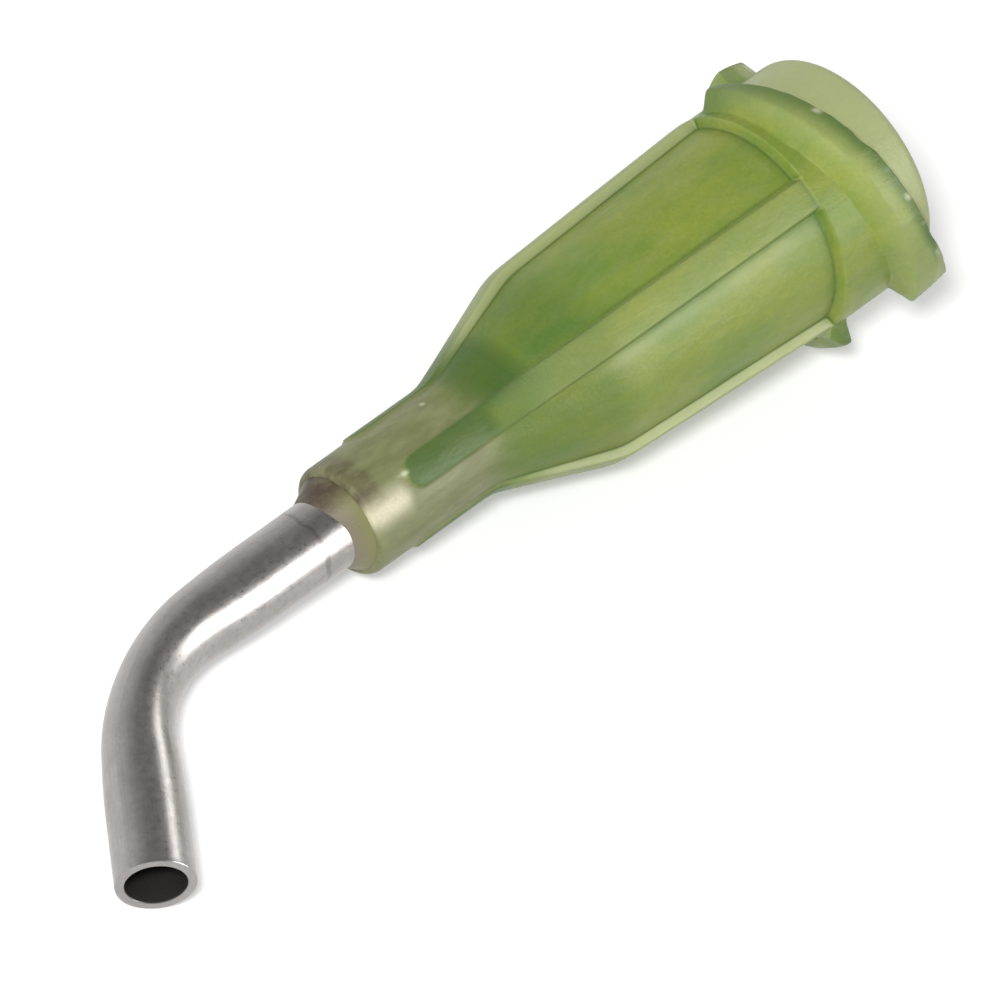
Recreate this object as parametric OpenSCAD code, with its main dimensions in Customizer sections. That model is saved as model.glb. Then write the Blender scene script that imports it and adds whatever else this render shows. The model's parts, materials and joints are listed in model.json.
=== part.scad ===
// Dispensing needle tip: a bent steel tube bonded into a moulded hub with a Luer-lock socket.
// Millimetres. The tip lies at rest on a table: +Z up, the hub axis over X, the table at z = 0.
// In its own frame the hub stands on its front face, with its axis on Z and the bend towards X.

/* [Needle tube] */
// Outside diameter of the tube, 14 gauge regular wall
tube_od = 2.11; // [1.65:0.01:2.2]
// Bore of the tube
tube_id = 1.6; // [1.19:0.01:1.66]
// Straight length of tube from the front of the neck to the bend
tube_lead = 4.9; // [2:0.1:8]
// Angle by which the tube is bent away from the hub axis
bend_angle = 52; // [15:1:80]
// Radius of the bend, at the centreline of the tube
bend_r = 5.3; // [4:0.1:9]
// Straight length of tube from the bend to the mouth
tube_tail = 4; // [2:0.1:20]
// Share of its diameter by which bending has flattened the tube, at the middle of the bend
bend_flat = 0.17; // [0:0.01:0.2]
// Length of each straight run over which the flattening dies away
flat_reach = 1.9; // [0.5:0.1:1.9]
// Length of tube inside the hub
tube_seat = 4.5; // [4.2:0.1:5.2]

/* [Neck] */
// Diameter of the neck
neck_d = 3.2; // [3:0.05:3.6]
// Length of the neck, from its front face to the cone
neck_l = 4.3; // [4:0.1:6]
// Radius of the rounded front edge of the neck
neck_round = 0.2; // [0.1:0.05:0.35]

/* [Barrel] */
// Length of the cone from the neck to the barrel
cone_l = 3.7; // [2.5:0.1:5]
// Radius of the soft corner between the cone and the barrel
shoulder_round = 2.5; // [0.5:0.1:4]
// Diameter of the barrel where it meets the cone
barrel_d = 5.4; // [5:0.05:5.8]
// Length of the hub, from the front of the neck to the rim
hub_l = 18.8; // [17:0.1:23]
// Diameter of the collar that carries the thread
collar_d = 6.66; // [6.3:0.02:6.72]
// Length of the collar
collar_l = 3.45; // [3:0.05:4.5]
// Radius of the rounded outer edge of the rim
rim_round = 0.35; // [0.1:0.05:0.5]

/* [Ribs] */
// Number of ribs around the hub
ribs = 4; // [2:1:6]
// Width of a rib
rib_w = 0.92; // [0.5:0.02:1.2]
// Height of a rib above the barrel
rib_h = 0.28; // [0.14:0.02:0.4]
// Height of a rib above the neck
rib_neck_h = 0.08; // [0.04:0.01:0.15]
// Distance from the front of the neck to the front end of a rib
rib_start = 1.5; // [1:0.1:3]
// Angle about the hub axis from the bend to the first rib
rib_turn = 27; // [0:1:89]

/* [Lock thread] */
// Diameter over the crests of the two thread flights
thread_d = 7.83; // [7.3:0.02:7.83]
// Lead of the double-start thread
thread_lead = 5; // [4:0.1:6]
// Angle swept by each flight
flight_sweep = 158; // [90:1:170]
// Width of a flight's crest at its narrow front end
crest_front = 0.45; // [0.2:0.05:0.8]
// Width of a flight's crest at its wide rear end
crest_rear = 0.75; // [0.4:0.05:1]
// Width of the long sloping side of a flight, towards the needle
front_flank = 0.6; // [0.2:0.05:0.7]
// Width of the steep side of a flight, towards the rim
rear_flank = 0.15; // [0.05:0.05:0.3]
// Distance from the rim to the rear end of a flight's crest
thread_inset = 0.33; // [0.2:0.01:0.8]
// Angle from the first rib to the front end of the first flight
flight_turn = 3; // [-20:1:40]

/* [Luer socket] */
// Diameter of the socket at its mouth
socket_d = 4.3; // [4.27:0.005:4.315]
// Depth of the tapered socket
socket_depth = 10.5; // [8:0.1:11.5]
// Width of the chamfer at the mouth of the socket
socket_chamfer = 0.15; // [0.05:0.05:0.3]

/* [Adhesive] */
// Radial gap between the tube and the neck, which the adhesive fills
bond_gap = 0.1; // [0.05:0.01:0.14]
// Length of the hollow fillet of adhesive in front of the neck
bond_reach = 0.5; // [0.1:0.05:0.8]

/* [Hidden] */
$fn = 96;

// Taper of a Luer cone on its diameter, 6 in 100
luer_taper = 0.06;
overlap = 0.3;
joint_step = 0.005;
tube_r = tube_od / 2;
neck_r = neck_d / 2;
barrel_r = barrel_d / 2;
collar_r = collar_d / 2;
thread_r = thread_d / 2;
bond_r = tube_r + bond_gap;
cone_end = neck_l + cone_l;
collar_start = hub_l - collar_l;
socket_end = hub_l - socket_depth;
socket_end_r = (socket_d - luer_taper * socket_depth) / 2;
bend_length = bend_r * bend_angle * PI / 180;
flat_end = bend_length / 2 + flat_reach;
function rib_angle(i) = rib_turn + 360 * i / ribs;

// Lying at rest, the tail of the tube and the crest of the thread touch the table.
// Distance from the middle of the neck's front face to the line of the tail
tail_offset = tube_lead * sin(bend_angle) + bend_r * (1 - cos(bend_angle));
// Height along the hub of a flight's lower crest edge at angle a about the axis
function crest_z(a) =
    let (share = min(1, ((a - rib_turn - flight_turn) % 180 + 180) % 180 / flight_sweep))
    hub_l - thread_inset - thread_lead * flight_sweep / 360 * (1 - share) - crest_front
        - (crest_rear - crest_front) * share;
// Turn about the tail that brings the crest down to the table, found in a few rounds
function rest_turn(rounds) = rounds == 0 ? 5 :
    let (last = rest_turn(rounds - 1), under = 90 + atan(tan(last) * cos(bend_angle)))
    asin((thread_r * cos(asin(sin(last) * sin(bend_angle))) - tube_r)
        / (tail_offset + crest_z(under) * sin(bend_angle)));
rest = rest_turn(6);
lie_pitch = asin(sin(rest) * sin(bend_angle));
lie_roll = -atan(tan(rest) * cos(bend_angle));
lie_height = tail_offset * sin(rest) + tube_r;

// Furthest reach of the lying tip each way, which centres it over the origin
mouth_out = bend_r * (1 - cos(bend_angle)) + tube_tail * sin(bend_angle);
mouth_down = tube_lead + bend_r * sin(bend_angle) + tube_tail * cos(bend_angle);
bend_x = sin(lie_roll) * sin(lie_pitch);
tail_x = sin(bend_angle) * bend_x - cos(bend_angle) * cos(lie_pitch);
tail_y = sin(bend_angle) * cos(lie_roll);
lie_min_x = mouth_out * bend_x - mouth_down * cos(lie_pitch) - tube_r * sqrt(1 - tail_x * tail_x);
lie_max_x = (hub_l - rim_round) * cos(lie_pitch) + (collar_r - rim_round) * sin(lie_pitch) + rim_round;
lie_min_y = -mouth_out * cos(lie_roll) - tube_r * sqrt(1 - tail_y * tail_y);

// Lays a piece from the hub's own frame on the table, pitched about Y and rolled about its axis
module lying() {
    translate([-(lie_min_x + lie_max_x) / 2, -(lie_min_y + thread_r) / 2, lie_height])
        rotate([0, -lie_pitch, 0])
            rotate([lie_roll - 90, 0, 0])
                rotate([0, 90, 0]) children();
}

// Point at angle a on a circle of radius r, about the corner [x, y]
function arc_point(x, y, r, a) = [x + r * cos(a), y + r * sin(a)];

// Points of an arc of radius r that rounds the outward corner at b between the lines to a and c
function soft_corner(a, b, c, r) =
    let (steps = 6, ab = atan2(b[1] - a[1], b[0] - a[0]), bc = atan2(c[1] - b[1], c[0] - b[0]))
    let (back = r * tan((bc - ab) / 2), from = b - back * [cos(ab), sin(ab)])
    let (centre = from + r * [-sin(ab), cos(ab)])
    [for (i = [0:steps]) arc_point(centre[0], centre[1], r, ab - 90 + (bc - ab) * i / steps)];

// Half section of the neck, cone, barrel and collar
module body_section() {
    steps = 8;
    collar_foot = [collar_r - rib_h, collar_start];
    polygon(concat(
        [[0, 0]],
        [for (i = [0:steps]) arc_point(neck_r - neck_round, neck_round, neck_round, -90 + 90 * i / steps)],
        [[neck_r, neck_l]],
        soft_corner([neck_r, neck_l], [barrel_r, cone_end], collar_foot, shoulder_round),
        [collar_foot, [collar_r, collar_start]],
        [for (i = [0:steps]) arc_point(collar_r - rim_round, hub_l - rim_round, rim_round, 90 * i / steps)],
        [[0, hub_l]]));
}

// Half section that the outer faces of the ribs follow, up into the collar
module rib_section() {
    cone_foot = [neck_r + rib_neck_h, neck_l];
    polygon(concat(
        [[0, 0], [neck_r + rib_neck_h, 0], cone_foot],
        soft_corner(cone_foot, [barrel_r + rib_h, cone_end], [collar_r, collar_start], shoulder_round),
        [[collar_r, collar_start], [collar_r, collar_start + overlap], [0, collar_start + overlap]]));
}

// One rib's outline, seen along its radius, with a round front end, cut right through the hub
module rib_slab(angle) {
    front = rib_start + rib_w / 2;
    rotate(angle) rotate([0, 90, 0]) linear_extrude(height = thread_r) {
        translate([-hub_l, -rib_w / 2]) square([hub_l - front, rib_w]);
        translate([-front, 0]) circle(d = rib_w);
    }
}

// One flight of the thread: a trapezoid that widens as it climbs the collar to the rim
module flight(turn) {
    steps = 40;
    root_r = collar_r - overlap;
    sink = (thread_r - root_r) / (thread_r - collar_r);
    rear = hub_l - thread_inset;
    points = [for (i = [0:steps])
        let (
            a = turn + flight_sweep * i / steps,
            top = rear - thread_lead * flight_sweep / 360 * (1 - i / steps),
            crest = crest_front + (crest_rear - crest_front) * i / steps
        )
        for (corner = [[root_r, top + sink * rear_flank], [thread_r, top],
                       [thread_r, top - crest], [root_r, top - crest - sink * front_flank]])
            [corner[0] * cos(a), corner[0] * sin(a), corner[1]]];
    polyhedron(points, ring_faces(4, steps), convexity = 4);
}

// Faces of a solid made of rings of m points, each ring clockwise seen along the run, closed at both ends
function ring_faces(m, steps) = concat(
    [for (i = [0:steps - 1]) for (j = [0:m - 1])
        [i * m + j, (i + 1) * m + j, (i + 1) * m + (j + 1) % m, i * m + (j + 1) % m]],
    [[for (j = [0:m - 1]) j]],
    [[for (j = [m - 1:-1:0]) steps * m + j]]);

// Tapered Luer socket, the funnel under it and the bore that holds the tube
module passage() {
    rotate_extrude() polygon([
        [0, -1], [bond_r, -1], [bond_r, tube_seat], [tube_id / 2, tube_seat], [tube_id / 2, tube_seat + overlap],
        [socket_end_r, socket_end], [socket_d / 2, hub_l - socket_chamfer],
        [socket_d / 2 + socket_chamfer, hub_l], [socket_d / 2 + socket_chamfer, hub_l + 1], [0, hub_l + 1]]);
}

module hub() {
    color([0.53, 0.6, 0.32, 0.9]) lying() difference() {
        union() {
            rotate_extrude() body_section();
            intersection() {
                rotate_extrude() rib_section();
                union() {
                    for (i = [0:ribs - 1]) rib_slab(rib_angle(i));
                }
            }
            for (half = [0, 180]) flight(rib_turn + flight_turn + half);
        }
        passage();
    }
}

// Share by which the tube is narrowed at length s from the middle of the bend: most there, none at flat_end
function flattening(s) = bend_flat * pow(cos(90 * s / flat_end), 2);

// Centreline of the tube at length s from the middle of the bend, as [x, z, angle turned]
function centreline(s) =
    let (half = bend_length / 2, turned = bend_angle * min(max((s + half) / bend_length, 0), 1))
    let (past = s > half ? s - half : s < -half ? s + half : 0)
    [bend_r * (1 - cos(turned)) + past * sin(turned), -tube_lead - bend_r * sin(turned) - past * cos(turned), turned];

// Ring of points round the flattened tube at length s, at radius r before flattening
function tube_ring(s, r, sides) =
    let (at = centreline(s), k = tube_r * flattening(s))
    [for (j = [0:sides - 1])
        let (u = (r - k) * cos(360 * j / sides), v = -r * sin(360 * j / sides))
        [at[0] + u * cos(at[2]), v, at[1] + u * sin(at[2])]];

// Wall of the flattened stretch: narrowed in the plane of the bend, a hair inside the straight runs
module flattened_run() {
    steps = 30;
    sides = 40;
    points = [for (i = [0:steps]) for (r = [tube_r - joint_step, tube_id / 2 + joint_step])
        each tube_ring(flat_end * (2 * i / steps - 1), r, sides)];
    function outer(i, j) = i * 2 * sides + j % sides;
    function inner(i, j) = outer(i, j) + sides;
    polyhedron(points, concat(
        [for (i = [0:steps - 1]) for (j = [0:sides - 1]) [outer(i, j), outer(i + 1, j), outer(i + 1, j + 1), outer(i, j + 1)]],
        [for (i = [0:steps - 1]) for (j = [0:sides - 1]) [inner(i, j), inner(i, j + 1), inner(i + 1, j + 1), inner(i + 1, j)]],
        [for (j = [0:sides - 1]) [outer(0, j), outer(0, j + 1), inner(0, j + 1), inner(0, j)]],
        [for (j = [0:sides - 1]) [outer(steps, j), inner(steps, j), inner(steps, j + 1), outer(steps, j + 1)]]),
        convexity = 6);
}

// A straight run of the tube
module straight_run(length) {
    difference() {
        cylinder(r = tube_r, h = length);
        translate([0, 0, -1]) cylinder(d = tube_id, h = length + 2);
    }
}

module needle_tube() {
    rear = centreline(-flat_end);
    front = centreline(flat_end);
    color([0.75, 0.75, 0.76]) lying() {
        translate([0, 0, rear[1]]) straight_run(tube_seat - rear[1]);
        flattened_run();
        translate([front[0], 0, front[1]]) rotate([0, 180 - bend_angle, 0]) straight_run(tube_tail - flat_reach);
    }
}

// Sleeve of cured adhesive in the bonding gap, with a hollow fillet over the neck's front face
module adhesive() {
    steps = 8;
    width = neck_r - neck_round - tube_r;
    color([0.8, 0.76, 0.62]) lying() rotate_extrude() polygon(concat(
        [[tube_r, tube_seat], [bond_r, tube_seat], [bond_r, 0]],
        [for (i = [0:steps]) [tube_r + width * (1 - sin(90 * i / steps)), -bond_reach * (1 - cos(90 * i / steps))]]));
}

hub();
needle_tube();
adhesive();
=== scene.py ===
import json
import math

import bpy
import numpy as np
from mathutils import Matrix, Vector


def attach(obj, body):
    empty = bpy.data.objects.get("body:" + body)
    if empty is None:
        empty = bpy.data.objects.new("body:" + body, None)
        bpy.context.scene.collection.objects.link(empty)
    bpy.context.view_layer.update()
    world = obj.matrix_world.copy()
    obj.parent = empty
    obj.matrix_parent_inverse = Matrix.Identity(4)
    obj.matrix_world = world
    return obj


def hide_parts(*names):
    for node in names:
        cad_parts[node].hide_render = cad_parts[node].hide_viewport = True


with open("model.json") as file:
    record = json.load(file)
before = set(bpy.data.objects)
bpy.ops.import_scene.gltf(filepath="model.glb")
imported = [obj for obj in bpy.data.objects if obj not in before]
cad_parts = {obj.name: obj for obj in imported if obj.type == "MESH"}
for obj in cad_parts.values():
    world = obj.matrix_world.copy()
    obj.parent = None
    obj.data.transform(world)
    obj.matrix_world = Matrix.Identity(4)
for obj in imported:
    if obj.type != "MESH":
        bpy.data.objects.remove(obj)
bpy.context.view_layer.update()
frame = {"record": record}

# ---------------------------------------------------------------------------
# Hub: one injection moulding in translucent olive-green polypropylene. It has
# a slim neck that grips the tube, a cone, a barrel with four stiffening ribs,
# and a collar with the double-start Luer-lock thread round a tapered socket.
# ---------------------------------------------------------------------------

MM = 0.001
mounts = {mount["name"]: mount for mount in frame["record"]["mounts"]}


def unit(vector):
    """The vector divided by its own length."""
    vector = np.asarray(vector, float)
    return vector / np.linalg.norm(vector)


# The hub's own frame: z rearwards from the middle of the neck's front face,
# x towards the side the tube is bent to, y across the bend.
hub_length = 18.8
hub_axis = unit(mounts["luer_socket"]["axis"])
tail_axis = unit(mounts["outlet"]["axis"])
bend_side = unit(tail_axis - hub_axis * (tail_axis @ hub_axis))
across_side = np.cross(hub_axis, bend_side)
neck_front = np.asarray(mounts["luer_socket"]["pos_m"]) - hub_axis * hub_length * MM


def placed(x, y, z):
    """Points of the hub's own frame, in millimetres, as metres of the row's frame.

    The middle of the neck's front, plus x times the bend side, y times the across side and z times the axis.
    """
    local = np.stack([x, y, z], axis=-1) * MM
    return local @ np.stack([bend_side, across_side, hub_axis]) + neck_front


def eased(share):
    """0 below 0, 1 above 1, and the cubic 3s^2 - 2s^3 between."""
    share = np.clip(share, 0.0, 1.0)
    return share * share * (3.0 - 2.0 * share)


def band(value, low, high, soft):
    """1 where value lies from low to high, falling smoothly to 0 over soft on either side."""
    return eased((value - low) / soft + 1.0) * eased((high - value) / soft + 1.0)


def ripple(seed, waves, *fields):
    """Smooth noise, mostly from -1 to 1: the mean of seeded sine waves of the fields, times 1.4."""
    draw = np.random.default_rng(seed)
    total = 0.0
    for _ in range(waves):
        phase = draw.uniform(0.0, 2.0 * math.pi)
        total = total + np.sin(sum(draw.normal() * field for field in fields) + phase)
    return total / waves * 1.4


def ring_mesh(name, points, values):
    """A closed surface from a grid of points whose rows and columns both join up end to end, faces outwards.

    Each named field of values, one number or vector a point, becomes an attribute for the materials.
    """
    rows, columns = points.shape[:2]
    flat = points.reshape(-1, 3)
    index = np.arange(rows * columns).reshape(rows, columns)
    below, right = np.roll(index, -1, axis=0), np.roll(index, -1, axis=1)
    corner = np.roll(below, -1, axis=1)
    quads = np.stack([index, right, corner, below], axis=-1).reshape(-1, 4)
    a, b, c, d = (flat[quads[:, i]] for i in range(4))
    if np.einsum("ij,ij->", a, np.cross(b - a, c - a) + np.cross(c - a, d - a)) < 0.0:
        quads = quads[:, ::-1]
    mesh = bpy.data.meshes.new(name)
    mesh.vertices.add(len(flat))
    mesh.vertices.foreach_set("co", flat.astype(np.float32).ravel())
    mesh.loops.add(quads.size)
    mesh.loops.foreach_set("vertex_index", quads.astype(np.int32).ravel())
    mesh.polygons.add(len(quads))
    mesh.polygons.foreach_set("loop_start", np.arange(0, quads.size, 4, dtype=np.int32))
    mesh.update(calc_edges=True)
    mesh.validate()
    mesh.polygons.foreach_set("use_smooth", np.ones(len(mesh.polygons), bool))
    for key, value in values.items():
        kind, slot_name = ("FLOAT_VECTOR", "vector") if value.ndim == 3 else ("FLOAT", "value")
        layer = mesh.attributes.new(key, kind, "POINT")
        layer.data.foreach_set(slot_name, value.astype(np.float32).ravel())
    made = bpy.data.objects.new(name, mesh)
    bpy.context.scene.collection.objects.link(made)
    return made


def cornered(points, step=0.35, corner=0.03):
    """Points along the straight runs between corners (r, z), about a step apart, each corner chamfered."""
    path = []
    for start, end in zip(points[:-1], points[1:]):
        start, end = np.asarray(start, float), np.asarray(end, float)
        length = np.linalg.norm(end - start)
        count = max(2, int(length / step) + 1)
        between = np.linspace(0, 1, count + 1)[1:-1]
        share = np.concatenate([[corner / length], between, [1 - corner / length]])
        path.append(start + share[:, None] * (end - start))
    return np.concatenate(path)


def spaced(start, stops):
    """Even places from start to each (stop, steps) in turn, start itself left out."""
    runs = []
    for stop, steps in stops:
        runs.append(np.linspace(start, stop, steps + 1)[1:])
        start = stop
    return np.concatenate(runs)


# Millimetres, and degrees about the hub axis from the bend
neck_r, neck_l, neck_round = 1.6, 4.3, 0.2
cone_l, barrel_r, shoulder_soft = 3.7, 2.7, 0.7
collar_r, collar_l, rim_round = 3.33, 3.45, 0.35
rib_count, rib_w, rib_h, rib_neck_h, rib_start, rib_turn = 4, 0.92, 0.28, 0.08, 1.5, 27.0
rib_edge, collar_step = 0.14, 0.1
thread_r, thread_lead = 3.915, 5.0
# Each flight's start, its sweep, and how far its long slope's foot is kept off the collar's front edge
flight_runs = ((24.0, 172.0, 0.0), (216.0, 158.0, 0.5))
crest_front, crest_rear, front_flank, rear_flank = 0.45, 0.75, 0.6, 0.15
thread_inset, off_centre, off_turn = 0.33, 0.1, 12.0
# The lug at a flight's rear end: the share of the sweep where it begins, and what it adds to width and height
lug_from, lug_width, lug_height = 0.8, 0.42, 0.12
# A flight's front end starts at this share of its width, and its rear edge rises by this much at the far end
front_width, rear_rise = 0.2, 0.34
socket_r, socket_depth, socket_chamfer, luer_taper = 2.15, 10.5, 0.15, 0.06
tube_r, tube_bore_r, tube_seat, bond_r = 1.055, 0.8, 4.5, 1.155
cone_end = neck_l + cone_l
collar_start = hub_length - collar_l
socket_end = hub_length - socket_depth
socket_end_r = socket_r - luer_taper * socket_depth / 2


def softened_line(z, corners, soft):
    """The line through the corners (z, r), averaged over a window soft long, which rounds its corners."""
    corners = np.asarray(corners, float)
    window = np.linspace(-0.5, 0.5, 15) * soft
    return np.mean([np.interp(z + shift, corners[:, 0], corners[:, 1]) for shift in window], axis=0)


def body_radius(z):
    """Radius of the neck, cone, barrel and collar at z, with a round front edge and a round rim."""
    corners = [(0, neck_r), (neck_l, neck_r), (cone_end, barrel_r), (collar_start, collar_r - rib_h)]
    radius = softened_line(z, corners, shoulder_soft)
    radius = radius + (collar_r - radius) * eased((z - collar_start) / collar_step)
    front = np.clip(1 - z / neck_round, 0, 1)
    rear = np.clip(1 - (hub_length - z) / rim_round, 0, 1)
    return radius - neck_round * (1 - np.sqrt(1 - front**2)) - rim_round * (1 - np.sqrt(1 - rear**2))


def rib_radius(z):
    """Radius of the ribs' outer faces at z: low on the neck, and flush with the collar at the rear."""
    corners = [
        (0, neck_r + rib_neck_h), (neck_l, neck_r + rib_neck_h),
        (cone_end, barrel_r + rib_h), (collar_start, collar_r),
    ]
    return softened_line(z, corners, shoulder_soft)


# Rows run along the outside, close together where the ribs start, at the shoulders and over the thread
rounding = np.linspace(0, math.pi / 2, 7)
outer_z = np.concatenate([
    neck_round * (1 - np.cos(rounding)),
    spaced(neck_round, [
        (rib_start - 0.1, 6), (rib_start + 0.8, 21),
        (neck_l - 0.5, 7), (neck_l + 0.5, 9),
        (cone_end - 0.5, 10), (cone_end + 0.5, 9),
        (collar_start - 0.1, 25), (hub_length - rim_round, 111),
    ]),
    hub_length - rim_round * (1 - np.sin(np.linspace(0, math.pi / 2, 19)[1:])),
])
inner_path = cornered([
    (collar_r - rim_round, hub_length), (socket_r + socket_chamfer, hub_length),
    (socket_r, hub_length - socket_chamfer), (socket_end_r, socket_end),
    (tube_bore_r, tube_seat + 0.3), (tube_bore_r, tube_seat),
    (bond_r, tube_seat), (bond_r, 0), (neck_r - neck_round, 0),
])

# Columns run lengthwise. Those over a rib keep their distance from its middle, so that they follow its edges.
half_foot, half_top = rib_w / 2 + rib_edge, rib_w / 2 - rib_edge
rib_columns = np.concatenate([
    np.linspace(-half_foot, -half_top, 9),
    np.linspace(-half_top, half_top, 8)[1:-1],
    np.linspace(half_top, half_foot, 9),
])
panel_shares = np.linspace(0, 1, 62)[1:-1]
body, rib = body_radius(outer_z), rib_radius(outer_z)
half_way = (body + np.maximum(body, rib)) / 2
over_rib = np.degrees(np.arcsin(rib_columns[None, :] / half_way[:, None]))
rib_spacing = 360.0 / rib_count
panel = over_rib[:, -1:] + panel_shares * (rib_spacing + over_rib[:, :1] - over_rib[:, -1:])
one_rib = np.hstack([over_rib, panel])
outer_turn = np.concatenate([rib_turn + rib_spacing * i + one_rib for i in range(rib_count)], axis=1)


def rib_cover(turn, z, radius):
    """How much of a rib stands at each point, and how far to the side of the rib's middle the point lies.

    1 inside the rib's long outline with its round front end, 0 outside, and soft over the edge between.
    """
    offset = (turn - rib_turn + rib_spacing / 2) % rib_spacing - rib_spacing / 2
    sideways = radius * np.sin(np.radians(offset))
    ahead = np.minimum(z - rib_start - rib_w / 2, 0.0)
    inside = rib_w / 2 - np.hypot(sideways, ahead)
    return eased(inside / rib_edge + 0.5), sideways


def flight_cover(turn, z, start, sweep, foot_lift):
    """How high one thread flight stands, the share of its sweep gone by, and where its rear edge lies.

    1 on a crest between two helical edges that part as it climbs to the rim, 0 on the collar, and in between
    on a long slope in front, a short one behind and a steep one at each end.
    """
    # Degrees in front of the start that still count as just before it
    lead_in = 20.0
    share = ((turn - start + lead_in) % 360.0 - lead_in) / sweep
    lug = eased((share - lug_from) / 0.18)
    rear = hub_length - thread_inset - thread_lead * sweep / 360.0 * (1.0 - share) - 0.15 * (1 - share)
    rear = rear + rear_rise * eased((share - 0.72) / 0.26)
    rear = rear + 0.05 * ripple(int(start) + 3, 12, turn * 0.4, z * 1.2)
    narrowed = front_width + (1 - front_width) * eased(share / 0.25)
    crest = (crest_front + (crest_rear - crest_front) * share) * narrowed + lug_width * lug
    foot = np.maximum(rear - crest - front_flank + 0.35 * lug, collar_start - 0.1 + foot_lift)
    climb = np.clip((z - foot) / np.maximum(rear - crest - foot, 0.15), 0, 1)
    fall = eased((rear + rear_flank - z) / rear_flank)
    slant = 0.07 * np.clip((rear - z) / (crest + front_flank), 0, 1)
    ends = eased((share + 0.02) / 0.05) * eased((1.0 + slant - 0.02 - share) / 0.02)
    climb = np.sin(climb * math.pi / 2) ** 1.3
    return climb * fall * ends, share, rear


z_grid = np.broadcast_to(outer_z[:, None], outer_turn.shape)
ribbed, sideways = rib_cover(outer_turn, z_grid, half_way[:, None])
ribbed = ribbed * eased((rib - body)[:, None] / 0.02 + 0.2) * (z_grid < collar_start + 0.1)
outer_r = body[:, None] + np.maximum(rib - body, 0)[:, None] * ribbed
flights = np.zeros_like(outer_r)
burr, lugs, ledge, behind = (np.zeros_like(outer_r) for _ in range(4))
for start, sweep, foot_lift in flight_runs:
    cover, share, rear = flight_cover(outer_turn, z_grid, start, sweep, foot_lift)
    flights = np.maximum(flights, cover)
    within = band(share, 0.0, 1.0, 0.03)
    lugs = np.maximum(lugs, eased((share - lug_from) / 0.2) * cover)
    fade = 0.12 + 0.7 * (z_grid < rear) * (1.15 - share)
    ledge = np.maximum(ledge, within * band(z_grid, rear - 0.05, rear + 0.12, fade))
    behind = np.maximum(behind, within * eased((z_grid - rear - 0.15) / 0.35))
    flash = eased(2.6 * ripple(int(start) + 11, 8, outer_turn * 0.3, z_grid * 0.8) - 0.9)
    burr = np.maximum(burr, cover * band(z_grid, rear - 0.1, rear + 0.05, 0.12) * flash)
# The panels between the ribs are not quite flat, and the crest is a little uneven
sag = 0.012 * ripple(5, 12, outer_turn * 0.05, z_grid * 0.9) * band(z_grid, 5.2, 15.6, 0.4)
crest_r = thread_r - 0.02 + 0.015 * ripple(8, 10, outer_turn * 0.3, z_grid * 2.0) + lug_height * lugs
outer_r = outer_r + (crest_r - outer_r) * flights * (z_grid > collar_start - 0.15) + sag
# The collar and the thread stand a little off the hub's axis
lean = off_centre * np.cos(np.radians(outer_turn - off_turn))
outer_r = outer_r + lean * (0.5 + 0.5 * flights) * eased((z_grid - collar_start + 0.2) / 0.6)

inner_turn = np.broadcast_to(outer_turn[-1], (len(inner_path), outer_turn.shape[1]))
hub_turn = np.radians(np.vstack([outer_turn, inner_turn]))
hub_r = np.vstack([outer_r, np.broadcast_to(inner_path[:, :1], inner_turn.shape)])
hub_z = np.vstack([z_grid, np.broadcast_to(inner_path[:, 1:], inner_turn.shape)])


def whole(field, inside=0.0):
    """A field over the hub's outside, with one value added for all of its inside."""
    return np.vstack([field, np.full(inner_turn.shape, inside)])


def degrees_from(angle):
    """How far round each point of the hub lies from the angle, from -180 to 180."""
    return (np.degrees(hub_turn) - angle + 180.0) % 360.0 - 180.0


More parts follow.
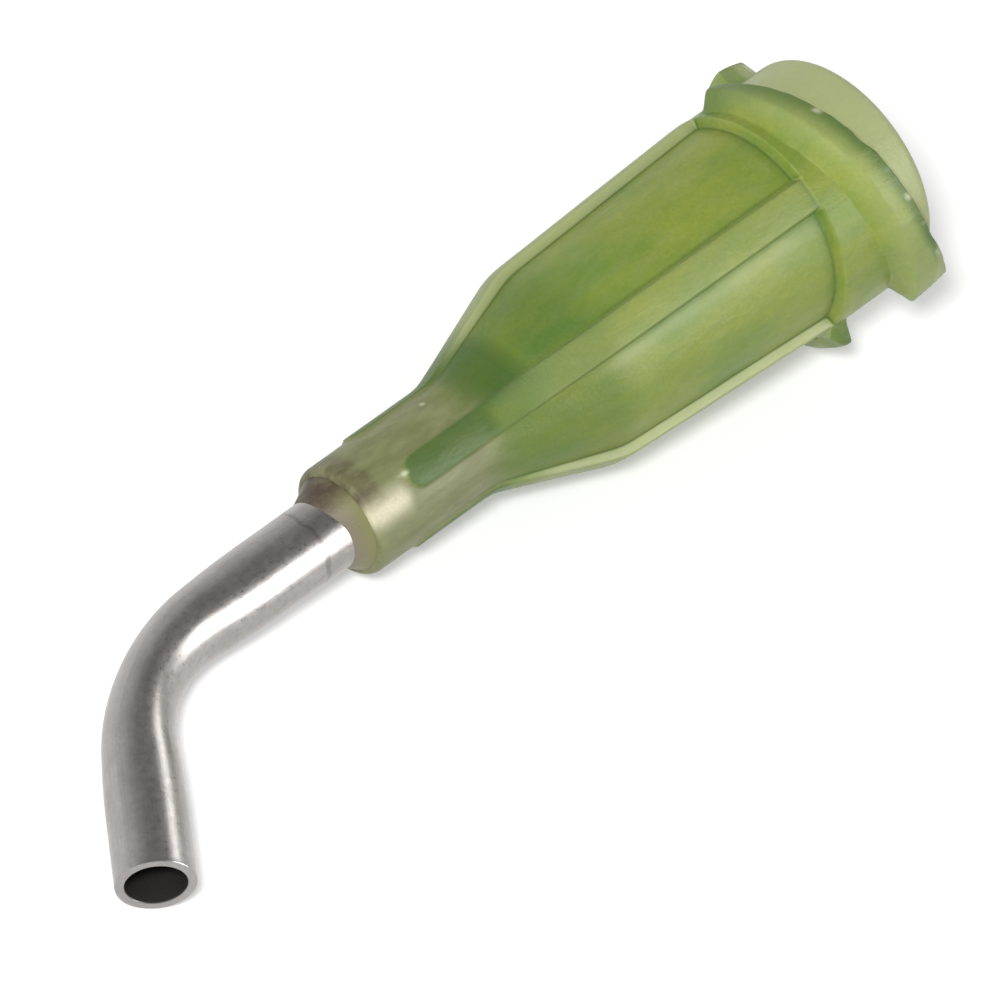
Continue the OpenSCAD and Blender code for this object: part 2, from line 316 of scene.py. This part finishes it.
def hub_tones_and_painted_light():
    """Shares from 0 to 1 over the whole hub, one field for each colour that lies over its plain green: its
    own tones, and painted light and shade.
    """
    far_off = 9.0
    shaded_turn, painted_streak_turn, painted_glint_turn, painted_highlight_turn = -120.0, rib_turn - 75.0, -68.0, -50.0
    outside = whole(np.ones_like(outer_r))
    mottle = 0.5 + 0.5 * ripple(21, 14, hub_turn * 2.1, hub_z * 0.9)
    on_rib = whole(ribbed)
    from_edge = np.abs(np.abs(whole(sideways, far_off)) - rib_w / 2)
    shaded = np.cos(hub_turn - math.radians(shaded_turn))
    # The two ribs that stand out to the sides are painted paler than the others, a painted sheen, and darker
    # along their feet, a painted shade
    sidelit = np.cos(2 * (hub_turn - math.radians(rib_turn))) > 0.5
    along_ribs = band(hub_z, rib_start, collar_start, 0.2)
    foot_line = band(from_edge, 0.08, 0.12, 0.05) * along_ribs * (1 - on_rib) * outside
    walls = band(from_edge, 0.0, 0.05, 0.04) * outside * along_ribs
    # In turn: painted shade on the cone's foot on the side away from the light, the deeper green of the thick
    # cone, painted shade along the step up to the collar and along the ribs' feet, the deeper green of the
    # ribs over the neck, and painted shade along each flight's rear edge
    deep_and_shade = np.maximum.reduce([
        0.8 * band(hub_z, neck_l + 0.2, neck_l + 1.3, 1.0) * eased((shaded - 0.3) / 0.5),
        0.42 * band(hub_z, neck_l - 0.4, cone_end - 0.5, 1.4) * (0.6 + 0.6 * mottle),
        0.5 * band(hub_z, collar_start - 0.06, collar_start - 0.02, 0.08) * outside,
        (0.4 + 0.45 * sidelit) * foot_line,
        0.8 * on_rib * band(hub_z, rib_start, neck_l, 0.8),
        0.85 * whole(ledge) * (0.55 + 0.5 * mottle),
    ])
    # Torn flash along the flights' rear edges, and a painted glint at a rib's front end
    painted_glint = -(((hub_z - rib_start) / 0.1) ** 2) - (degrees_from(painted_glint_turn) / 2.2) ** 2
    flash_and_glint = np.maximum(whole(burr), 0.8 * np.exp(painted_glint) * outside)
    # In turn: the ribs and their walls, a painted highlight along the barrel, the flights, the collar behind
    # them, the rim, the torn flash and the painted glint
    painted_streak = np.exp(-((degrees_from(painted_streak_turn) / 4.0) ** 2))
    milky_and_sheen = np.maximum.reduce([
        (on_rib * (0.14 + 0.2 * sidelit) + walls * (0.1 + 0.35 * sidelit)) * eased((hub_z - neck_l) / 2.0),
        0.45 * mottle * painted_streak * band(hub_z, cone_end + 0.2, collar_start - 1.2, 1.5),
        0.25 * whole(flights) * (1 - deep_and_shade),
        0.75 * whole(behind),
        0.55 * band(hub_z, hub_length - 0.45, hub_length + 1, 0.3) * outside,
        flash_and_glint,
    ])
    # The tube shows through the thin neck, which is darker brown at the front, most on the side away from the
    # light, and has a painted highlight on one side
    metal = eased((neck_l + 0.5 + 0.5 * mottle - hub_z) / 1.6) * outside * (1 - 0.85 * on_rib)
    front_darkening = band(hub_z, -0.1, 0.55, 0.35) * outside * eased((shaded - 0.2) / 0.5) * (0.4 + 0.6 * mottle)
    highlight_across = np.exp(-((degrees_from(painted_highlight_turn) / 13.0) ** 2))
    painted_highlight = band(hub_z, 0.0, 1.1, 0.45) * highlight_across * outside * (0.7 + 0.3 * mottle)
    return {"painted_highlight": painted_highlight, "deep_and_shade": deep_and_shade, "milky_and_sheen": milky_and_sheen, "metal": metal, "front_darkening": front_darkening, "flash_and_glint": flash_and_glint}


hub_local = np.stack([hub_r * np.cos(hub_turn), hub_r * np.sin(hub_turn), hub_z], axis=-1)
hub_points = placed(hub_local[..., 0], hub_local[..., 1], hub_local[..., 2])
# The uneven crest would otherwise reach a hair under the table where the hub rests
hub_points[..., 2] = np.maximum(hub_points[..., 2], 0.0)
hub = ring_mesh("hub_moulding", hub_points, hub_tones_and_painted_light() | {"local": hub_local})


class Finish:
    """A material being put together: short calls that add a node, set its sockets and join them up."""

    def __init__(self, name):
        self.material = bpy.data.materials.new(name)
        self.material.use_nodes = True
        self.tree = self.material.node_tree
        self.shader = self.tree.nodes["Principled BSDF"]

    def add(self, kind, inputs=None, **settings):
        node = self.tree.nodes.new("ShaderNode" + kind)
        for key, value in settings.items():
            setattr(node, key, value)
        for key, value in (inputs or {}).items():
            self.feed(node, key, value)
        return node

    def feed(self, node, key, value):
        if isinstance(value, bpy.types.NodeSocket):
            self.tree.links.new(value, node.inputs[key])
        else:
            node.inputs[key].default_value = value

    def set(self, **values):
        for key, value in values.items():
            self.feed(self.shader, key.replace("_", " "), value)

    def value(self, attribute):
        return self.add("Attribute", attribute_name=attribute).outputs["Fac"]

    def vector(self, attribute):
        return self.add("Attribute", attribute_name=attribute).outputs["Vector"]

    def place(self):
        return self.add("TexCoord").outputs["Object"]

    def noise(self, vector, scale, detail=3.0, rough=0.55):
        node = self.add("TexNoise", {"Vector": vector, "Scale": scale, "Detail": detail, "Roughness": rough})
        return node.outputs["Fac"]

    def spread(self, value, low, high, to_low=0.0, to_high=1.0):
        inputs = {"Value": value, "From Min": low, "From Max": high, "To Min": to_low, "To Max": to_high}
        return self.add("MapRange", inputs).outputs["Result"]

    def math(self, operation, a, b):
        return self.add("Math", {0: a, 1: b}, operation=operation).outputs["Value"]

    def mix(self, share, a, b):
        # The colour sockets go by number, because the node has others of the same names
        share_socket, a_socket, b_socket, result_socket = 0, 6, 7, 2
        node = self.add("Mix", data_type="RGBA")
        for key, value in ((share_socket, share), (a_socket, a), (b_socket, b)):
            self.feed(node, key, value)
        return node.outputs[result_socket]

    def bump(self, height, distance, strength):
        inputs = {"Height": height, "Distance": distance, "Strength": strength}
        return self.add("Bump", inputs).outputs["Normal"]

    def onto(self, piece):
        piece.data.materials.clear()
        piece.data.materials.append(self.material)


def tone(red, green, blue):
    """An sRGB colour with channels from 0 to 255, as the linear colour a shader takes."""
    share = np.array([red, green, blue]) / 255.0
    linear = np.where(share <= 0.04045, share / 12.92, ((share + 0.055) / 1.055) ** 2.4)
    return (*linear, 1.0)


plastic = Finish("green_polypropylene")
at = plastic.place()
local = plastic.vector("local")
drawn_out = plastic.add("VectorMath", {0: local, 1: (1.0, 1.0, 0.4)}, operation="MULTIPLY").outputs[0]
clouds = plastic.noise(drawn_out, 0.55, 5.0, 0.6)
flow = plastic.noise(drawn_out, 2.6, 4.0, 0.65)
grain = plastic.noise(local, 9.0, 4.0, 0.7)
olive = plastic.mix(plastic.spread(clouds, 0.36, 0.62), tone(162, 173, 68), tone(122, 154, 62))
olive = plastic.mix(plastic.spread(flow, 0.42, 0.7, 0.0, 0.35), olive, tone(160, 174, 112))
olive = plastic.mix(plastic.spread(grain, 0.35, 0.7, 0.0, 0.3), olive, tone(100, 128, 58))
# Painted shade, together with the deeper green of the thicker plastic
deepened_and_shaded = plastic.mix(plastic.value("deep_and_shade"), olive, tone(58, 98, 38))
khaki = plastic.mix(plastic.value("metal"), deepened_and_shaded, tone(134, 138, 92))
front_darkened = plastic.mix(plastic.value("front_darkening"), khaki, tone(92, 78, 60))
cloud_share = plastic.math("MULTIPLY", plastic.value("metal"), plastic.spread(flow, 0.4, 0.65, 0.0, 0.45))
mottled = plastic.mix(cloud_share, front_darkened, tone(170, 172, 126))
# A painted highlight, where the tube's own highlight shows through the neck
painted_highlight_share = plastic.math("MULTIPLY", plastic.value("painted_highlight"), plastic.spread(grain, 0.3, 0.6, 0.75, 1.0))
highlighted = plastic.mix(painted_highlight_share, mottled, tone(255, 247, 214))
# Milky paleness, with painted sheen on the side ribs and a painted highlight along the barrel
paled = plastic.mix(plastic.value("milky_and_sheen"), highlighted, tone(200, 206, 154))
# Torn flash, with a painted glint at a rib's front end
whitened = plastic.mix(plastic.value("flash_and_glint"), paled, tone(222, 228, 196))
cells = plastic.add("TexVoronoi", {"Vector": at, "Scale": 700.0})
lot = plastic.add("SeparateColor", {"Color": cells.outputs["Color"]}).outputs["Red"]
chosen = plastic.spread(lot, 0.9, 0.91)
specks = plastic.math("MULTIPLY", chosen, plastic.spread(cells.outputs["Distance"], 0.03, 0.08, 0.6, 0.0))
plastic.set(
    Base_Color=plastic.mix(specks, whitened, tone(225, 232, 190)),
    Roughness=plastic.spread(plastic.noise(at, 900.0), 0.3, 0.7, 0.36, 0.46),
    IOR=1.49,
    Specular_IOR_Level=0.22,
    Transmission_Weight=0.3,
    Normal=plastic.bump(plastic.math("ADD", flow, plastic.math("MULTIPLY", grain, 0.5)), 0.00005, 0.6),
)
plastic.onto(hub)
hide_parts("hub")
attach(hub, "root")

# ---------------------------------------------------------------------------
# Needle tube: drawn stainless tube with a regular wall, cut square and
# deburred at the mouth, bent once over a small former, which has flattened
# the bend. Its rear end is pushed into the hub's neck and bonded.
# ---------------------------------------------------------------------------

tube_lead, tube_tail, bend_r = 4.9, 4.0, 5.3
bend_angle = math.acos(float(np.clip(-(hub_axis @ tail_axis), -1, 1)))
bend_flat, flat_reach, mouth_round = 0.17, 1.9, 0.05
mark_ahead = 1.4
bend_length = bend_r * bend_angle
flat_end = bend_length / 2 + flat_reach
ring_mark = mark_ahead - bend_length / 2 - tube_lead


def tube_line(s):
    """x, z and the angle turned at length s from the middle of the bend: straight, an arc, straight."""
    turned = bend_angle * np.clip(s / bend_length + 0.5, 0, 1)
    past = s - np.clip(s, -bend_length / 2, bend_length / 2)
    x = bend_r * (1 - np.cos(turned)) + past * np.sin(turned)
    z = -tube_lead - bend_r * np.sin(turned) - past * np.cos(turned)
    return x, z, turned


def tube_wall(s, radius, turn):
    """The tube's surface: a ring round the centreline, narrowed in the bend's plane by a squared cosine."""
    x, z, turned = tube_line(s)
    narrowed = tube_r * bend_flat * np.cos(np.clip(s / flat_end, -1, 1) * math.pi / 2) ** 2
    inward = (radius - narrowed)[:, None] * np.cos(turn)[None, :]
    across = -radius[:, None] * np.sin(turn)[None, :]
    leant = turned[:, None]
    return x[:, None] + inward * np.cos(leant), across, z[:, None] + inward * np.sin(leant)


# Lengths along the tube, rearmost first: up the outside, round the lip at the mouth, back down the bore
tube_rear, tube_front = -bend_length / 2 - tube_lead - tube_seat, bend_length / 2 + tube_tail
rear_edge, lip_start = tube_rear + 0.05, tube_front - mouth_round
lip = np.linspace(0, math.pi / 2, 6)
outside_run = np.concatenate([
    [rear_edge],
    spaced(rear_edge, [(-flat_end, 29), (flat_end, 89), (lip_start, 19)]),
])
inside_run = spaced(lip_start, [(flat_end, 15), (-flat_end, 69), (rear_edge, 19)])
tube_s = np.concatenate([
    outside_run, tube_front - mouth_round * (1 - np.sin(lip[1:])),
    tube_front - mouth_round * (1 - np.cos(lip)), inside_run,
    [tube_rear, tube_rear],
])
tube_radii = np.concatenate([
    np.full(len(outside_run), tube_r), tube_r - mouth_round * (1 - np.cos(lip[1:])),
    tube_bore_r + mouth_round * (1 - np.sin(lip)), np.full(len(inside_run), tube_bore_r),
    [tube_bore_r + 0.04, tube_r - 0.04],
])
round_turn = np.linspace(0, 2 * math.pi, 129)[:-1]
drawn = np.stack(np.broadcast_arrays(
    tube_radii[:, None] * np.cos(round_turn),
    tube_radii[:, None] * np.sin(round_turn),
    tube_s[:, None],
), axis=-1)
in_bore = np.broadcast_to(eased((tube_bore_r + 0.03 - tube_radii) / 0.03)[:, None], drawn.shape[:2])
tube_points = placed(*tube_wall(tube_s, tube_radii, round_turn))
tube = ring_mesh("bent_tube", tube_points, {"drawn": drawn, "bore": in_bore})

steel = Finish("drawn_stainless")
along = steel.vector("drawn")
stretched = steel.add("VectorMath", {0: along, 1: (34.0, 34.0, 0.5)}, operation="MULTIPLY").outputs[0]
streaks = steel.noise(stretched, 1.0, 4.0)
cloudy = steel.noise(along, 1.1, 3.0)
blotchy = steel.noise(along, 5.0, 5.0, 0.7)
bore = steel.value("bore")
brightness = steel.spread(steel.math("ADD", streaks, blotchy), 0.7, 1.3)
satin = steel.mix(brightness, tone(150, 146, 144), tone(174, 170, 167))
stained = steel.mix(steel.spread(cloudy, 0.4, 0.7, 0.0, 0.5), satin, tone(146, 140, 135))
length = steel.add("SeparateXYZ", {0: along}).outputs["Z"]
wander = steel.math("ADD", length, steel.spread(cloudy, 0.3, 0.7, -0.12, 0.12))
from_mark = steel.math("ABSOLUTE", steel.math("SUBTRACT", wander, ring_mark), 0.0)
marked = steel.mix(steel.spread(from_mark, 0.02, 0.08, 0.4, 0.0), stained, tone(96, 86, 80))
# The bore is painted a darker, duller grey: painted shade inside the tube
steel.set(
    Base_Color=steel.mix(bore, marked, tone(78, 72, 68)),
    Metallic=steel.spread(bore, 0.0, 1.0, 1.0, 0.6),
    Roughness=steel.spread(blotchy, 0.3, 0.7, 0.24, 0.36),
    Normal=steel.bump(blotchy, 0.000012, 0.4),
)
steel.onto(tube)
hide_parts("needle_tube")
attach(tube, "root")

# ---------------------------------------------------------------------------
# Adhesive: a ring of clear, slightly amber epoxy in the gap between tube and
# neck. It has wicked out and set as a small hollow fillet round the tube.
# ---------------------------------------------------------------------------

fillet_reach, fillet_width = 0.5, 0.34
crept_turn = math.radians(-135.0)
fillet_share = np.linspace(0, 1, 12)
fillet_r = tube_r + fillet_width * (1 - fillet_share) ** 1.1
fillet_z = -fillet_reach * fillet_share
# Inside the neck the ring stands a hair clear of both walls, and it starts just behind the neck's front
skin, behind_front = 0.012, 0.02
bond_path = np.concatenate([
    np.stack([fillet_r, fillet_z], axis=-1),
    [(tube_r - skin, -fillet_reach), (tube_r + skin, 0.1), (tube_r + skin, tube_seat - skin),
     (bond_r - skin, tube_seat - skin), (bond_r - skin, behind_front), (tube_r + fillet_width, behind_front)],
])
# In front of the neck the fillet is uneven, and longest on the side where it crept out and browned
crept = np.cos(round_turn - crept_turn)
uneven = 1 + 0.12 * ripple(31, 7, np.cos(round_turn) * 1.5, np.sin(round_turn) * 1.5) + 0.5 * eased(crept)
bond_radii = np.broadcast_to(bond_path[:, :1], (len(bond_path), len(round_turn)))
bond_z = np.where(bond_path[:, 1:] < 0, bond_path[:, 1:] * uneven, bond_path[:, 1:])
browned = np.broadcast_to(eased((crept - 0.45) / 0.5), bond_z.shape)
bond_points = placed(bond_radii * np.cos(round_turn), bond_radii * np.sin(round_turn), bond_z)
outward = (bond_radii - tube_r) / fillet_width
bond = ring_mesh("bond_fillet", bond_points, {"browned": browned, "outward": outward})

epoxy = Finish("amber_epoxy")
epoxy_clouds = epoxy.noise(epoxy.place(), 1500.0, 4.0, 0.7)
brown_share = epoxy.math("MULTIPLY", epoxy.value("browned"), epoxy.spread(epoxy_clouds, 0.3, 0.6, 0.4))
amber = epoxy.mix(epoxy.spread(epoxy.value("outward"), 0.1, 0.8), tone(140, 132, 112), tone(138, 138, 92))
epoxy.set(
    Base_Color=epoxy.mix(brown_share, amber, tone(82, 68, 52)),
    Roughness=epoxy.spread(epoxy_clouds, 0.3, 0.7, 0.35, 0.55),
    Specular_IOR_Level=0.35,
    IOR=1.52,
    Transmission_Weight=0.25,
    Normal=epoxy.bump(epoxy_clouds, 0.00008, 0.8),
)
epoxy.onto(bond)
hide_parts("adhesive")
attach(bond, "root")

# ---------------------------------------------------------------------------
# Stage: a plain white floor, a pale world, two soft boxes that only the tip
# mirrors, a small lamp that casts the shadow, and a long lens looking down
# from the needle's side.
# ---------------------------------------------------------------------------

floor_mesh = bpy.data.meshes.new("white_floor")
reach = 3.0
floor_corners = [(-reach, -reach, 0), (reach, -reach, 0), (reach, reach, 0), (-reach, reach, 0)]
floor_mesh.from_pydata(floor_corners, [], [(0, 1, 2, 3)])
floor = bpy.data.objects.new("white_floor", floor_mesh)
bpy.context.scene.collection.objects.link(floor)
paper = Finish("white_paper")
paper.set(Base_Color=(0.8, 0.8, 0.8, 1.0), Roughness=0.9, Specular_IOR_Level=0.1)
# The floor's own light shows where the floor is seen, mirrored or seen through, and lights nothing
seen = paper.add("LightPath")
indirect = paper.math("MAXIMUM", seen.outputs["Is Glossy Ray"], seen.outputs["Is Transmission Ray"])
seen_share = paper.math("MAXIMUM", seen.outputs["Is Camera Ray"], indirect)
paper.set(Emission_Color=(1, 1, 1, 1), Emission_Strength=paper.math("MULTIPLY", seen_share, 0.28))
paper.onto(floor)

scene = bpy.context.scene
world = bpy.data.worlds.new("pale_room")
scene.world = world
world.use_nodes = True
# The room is brighter low down than overhead
room = world.node_tree
height = room.nodes.new("ShaderNodeSeparateXYZ")
room.links.new(room.nodes.new("ShaderNodeTexCoord").outputs["Generated"], height.inputs[0])
glow = room.nodes.new("ShaderNodeMapRange")
for key, value in (("From Min", 0.3), ("From Max", 0.8), ("To Min", 0.85), ("To Max", 0.3)):
    glow.inputs[key].default_value = value
room.links.new(height.outputs["Z"], glow.inputs["Value"])
room.links.new(glow.outputs["Result"], room.nodes["Background"].inputs["Strength"])
room.nodes["Background"].inputs["Color"].default_value = (1, 1, 1, 1)

tip = bpy.data.collections.new("tip")
for piece in (hub, tube, bond):
    tip.objects.link(piece)


def soft_box(name, place, size, power, mirrored=True):
    """A square area lamp at place, in metres, aimed at the tip.

    A mirrored one shows only in gloss, and only on the tip.
    The other kind lights matt surfaces and shows in no gloss.
    """
    lamp = bpy.data.lights.new(name, "AREA")
    lamp.shape = "RECTANGLE"
    lamp.size = lamp.size_y = size
    lamp.energy = power
    holder = bpy.data.objects.new(name, lamp)
    holder.location = place
    holder.rotation_euler = (-Vector(place)).to_track_quat("-Z", "Y").to_euler()
    holder.visible_glossy, holder.visible_diffuse = mirrored, not mirrored
    if mirrored:
        holder.light_linking.receiver_collection = tip
    scene.collection.objects.link(holder)


soft_box("window_box", (0.172, -0.288, 0.216), 0.26, 1.4)
soft_box("side_box", (0.337, 0.034, 0.213), 0.12, 0.16)
soft_box("shade_box", (-0.24, -0.07, 0.315), 0.06, 1.25, mirrored=False)

view_azimuth, view_elevation, view_roll = 64.7455, 48.9826, 24.9366
view_distance, view_lens = 308.115, 432.0
view_target = Vector((-0.43048, -1.54517, 3.62836)) * MM
heading, pitch = math.radians(view_azimuth), math.radians(view_elevation)
level = math.cos(pitch)
forward = Vector((math.sin(heading) * level, math.cos(heading) * level, -math.sin(pitch)))
lens = bpy.data.cameras.new("long_lens")
lens.lens, lens.sensor_width = view_lens, 36.0
lens.clip_start, lens.clip_end = 0.01, 10.0
camera = bpy.data.objects.new("long_lens", lens)
aim = forward.to_track_quat("-Z", "Y").to_matrix() @ Matrix.Rotation(math.radians(view_roll), 3, "Z")
camera.matrix_world = Matrix.Translation(view_target - forward * view_distance * MM) @ aim.to_4x4()
scene.collection.objects.link(camera)
scene.camera = camera
scene.view_settings.view_transform = "Standard"
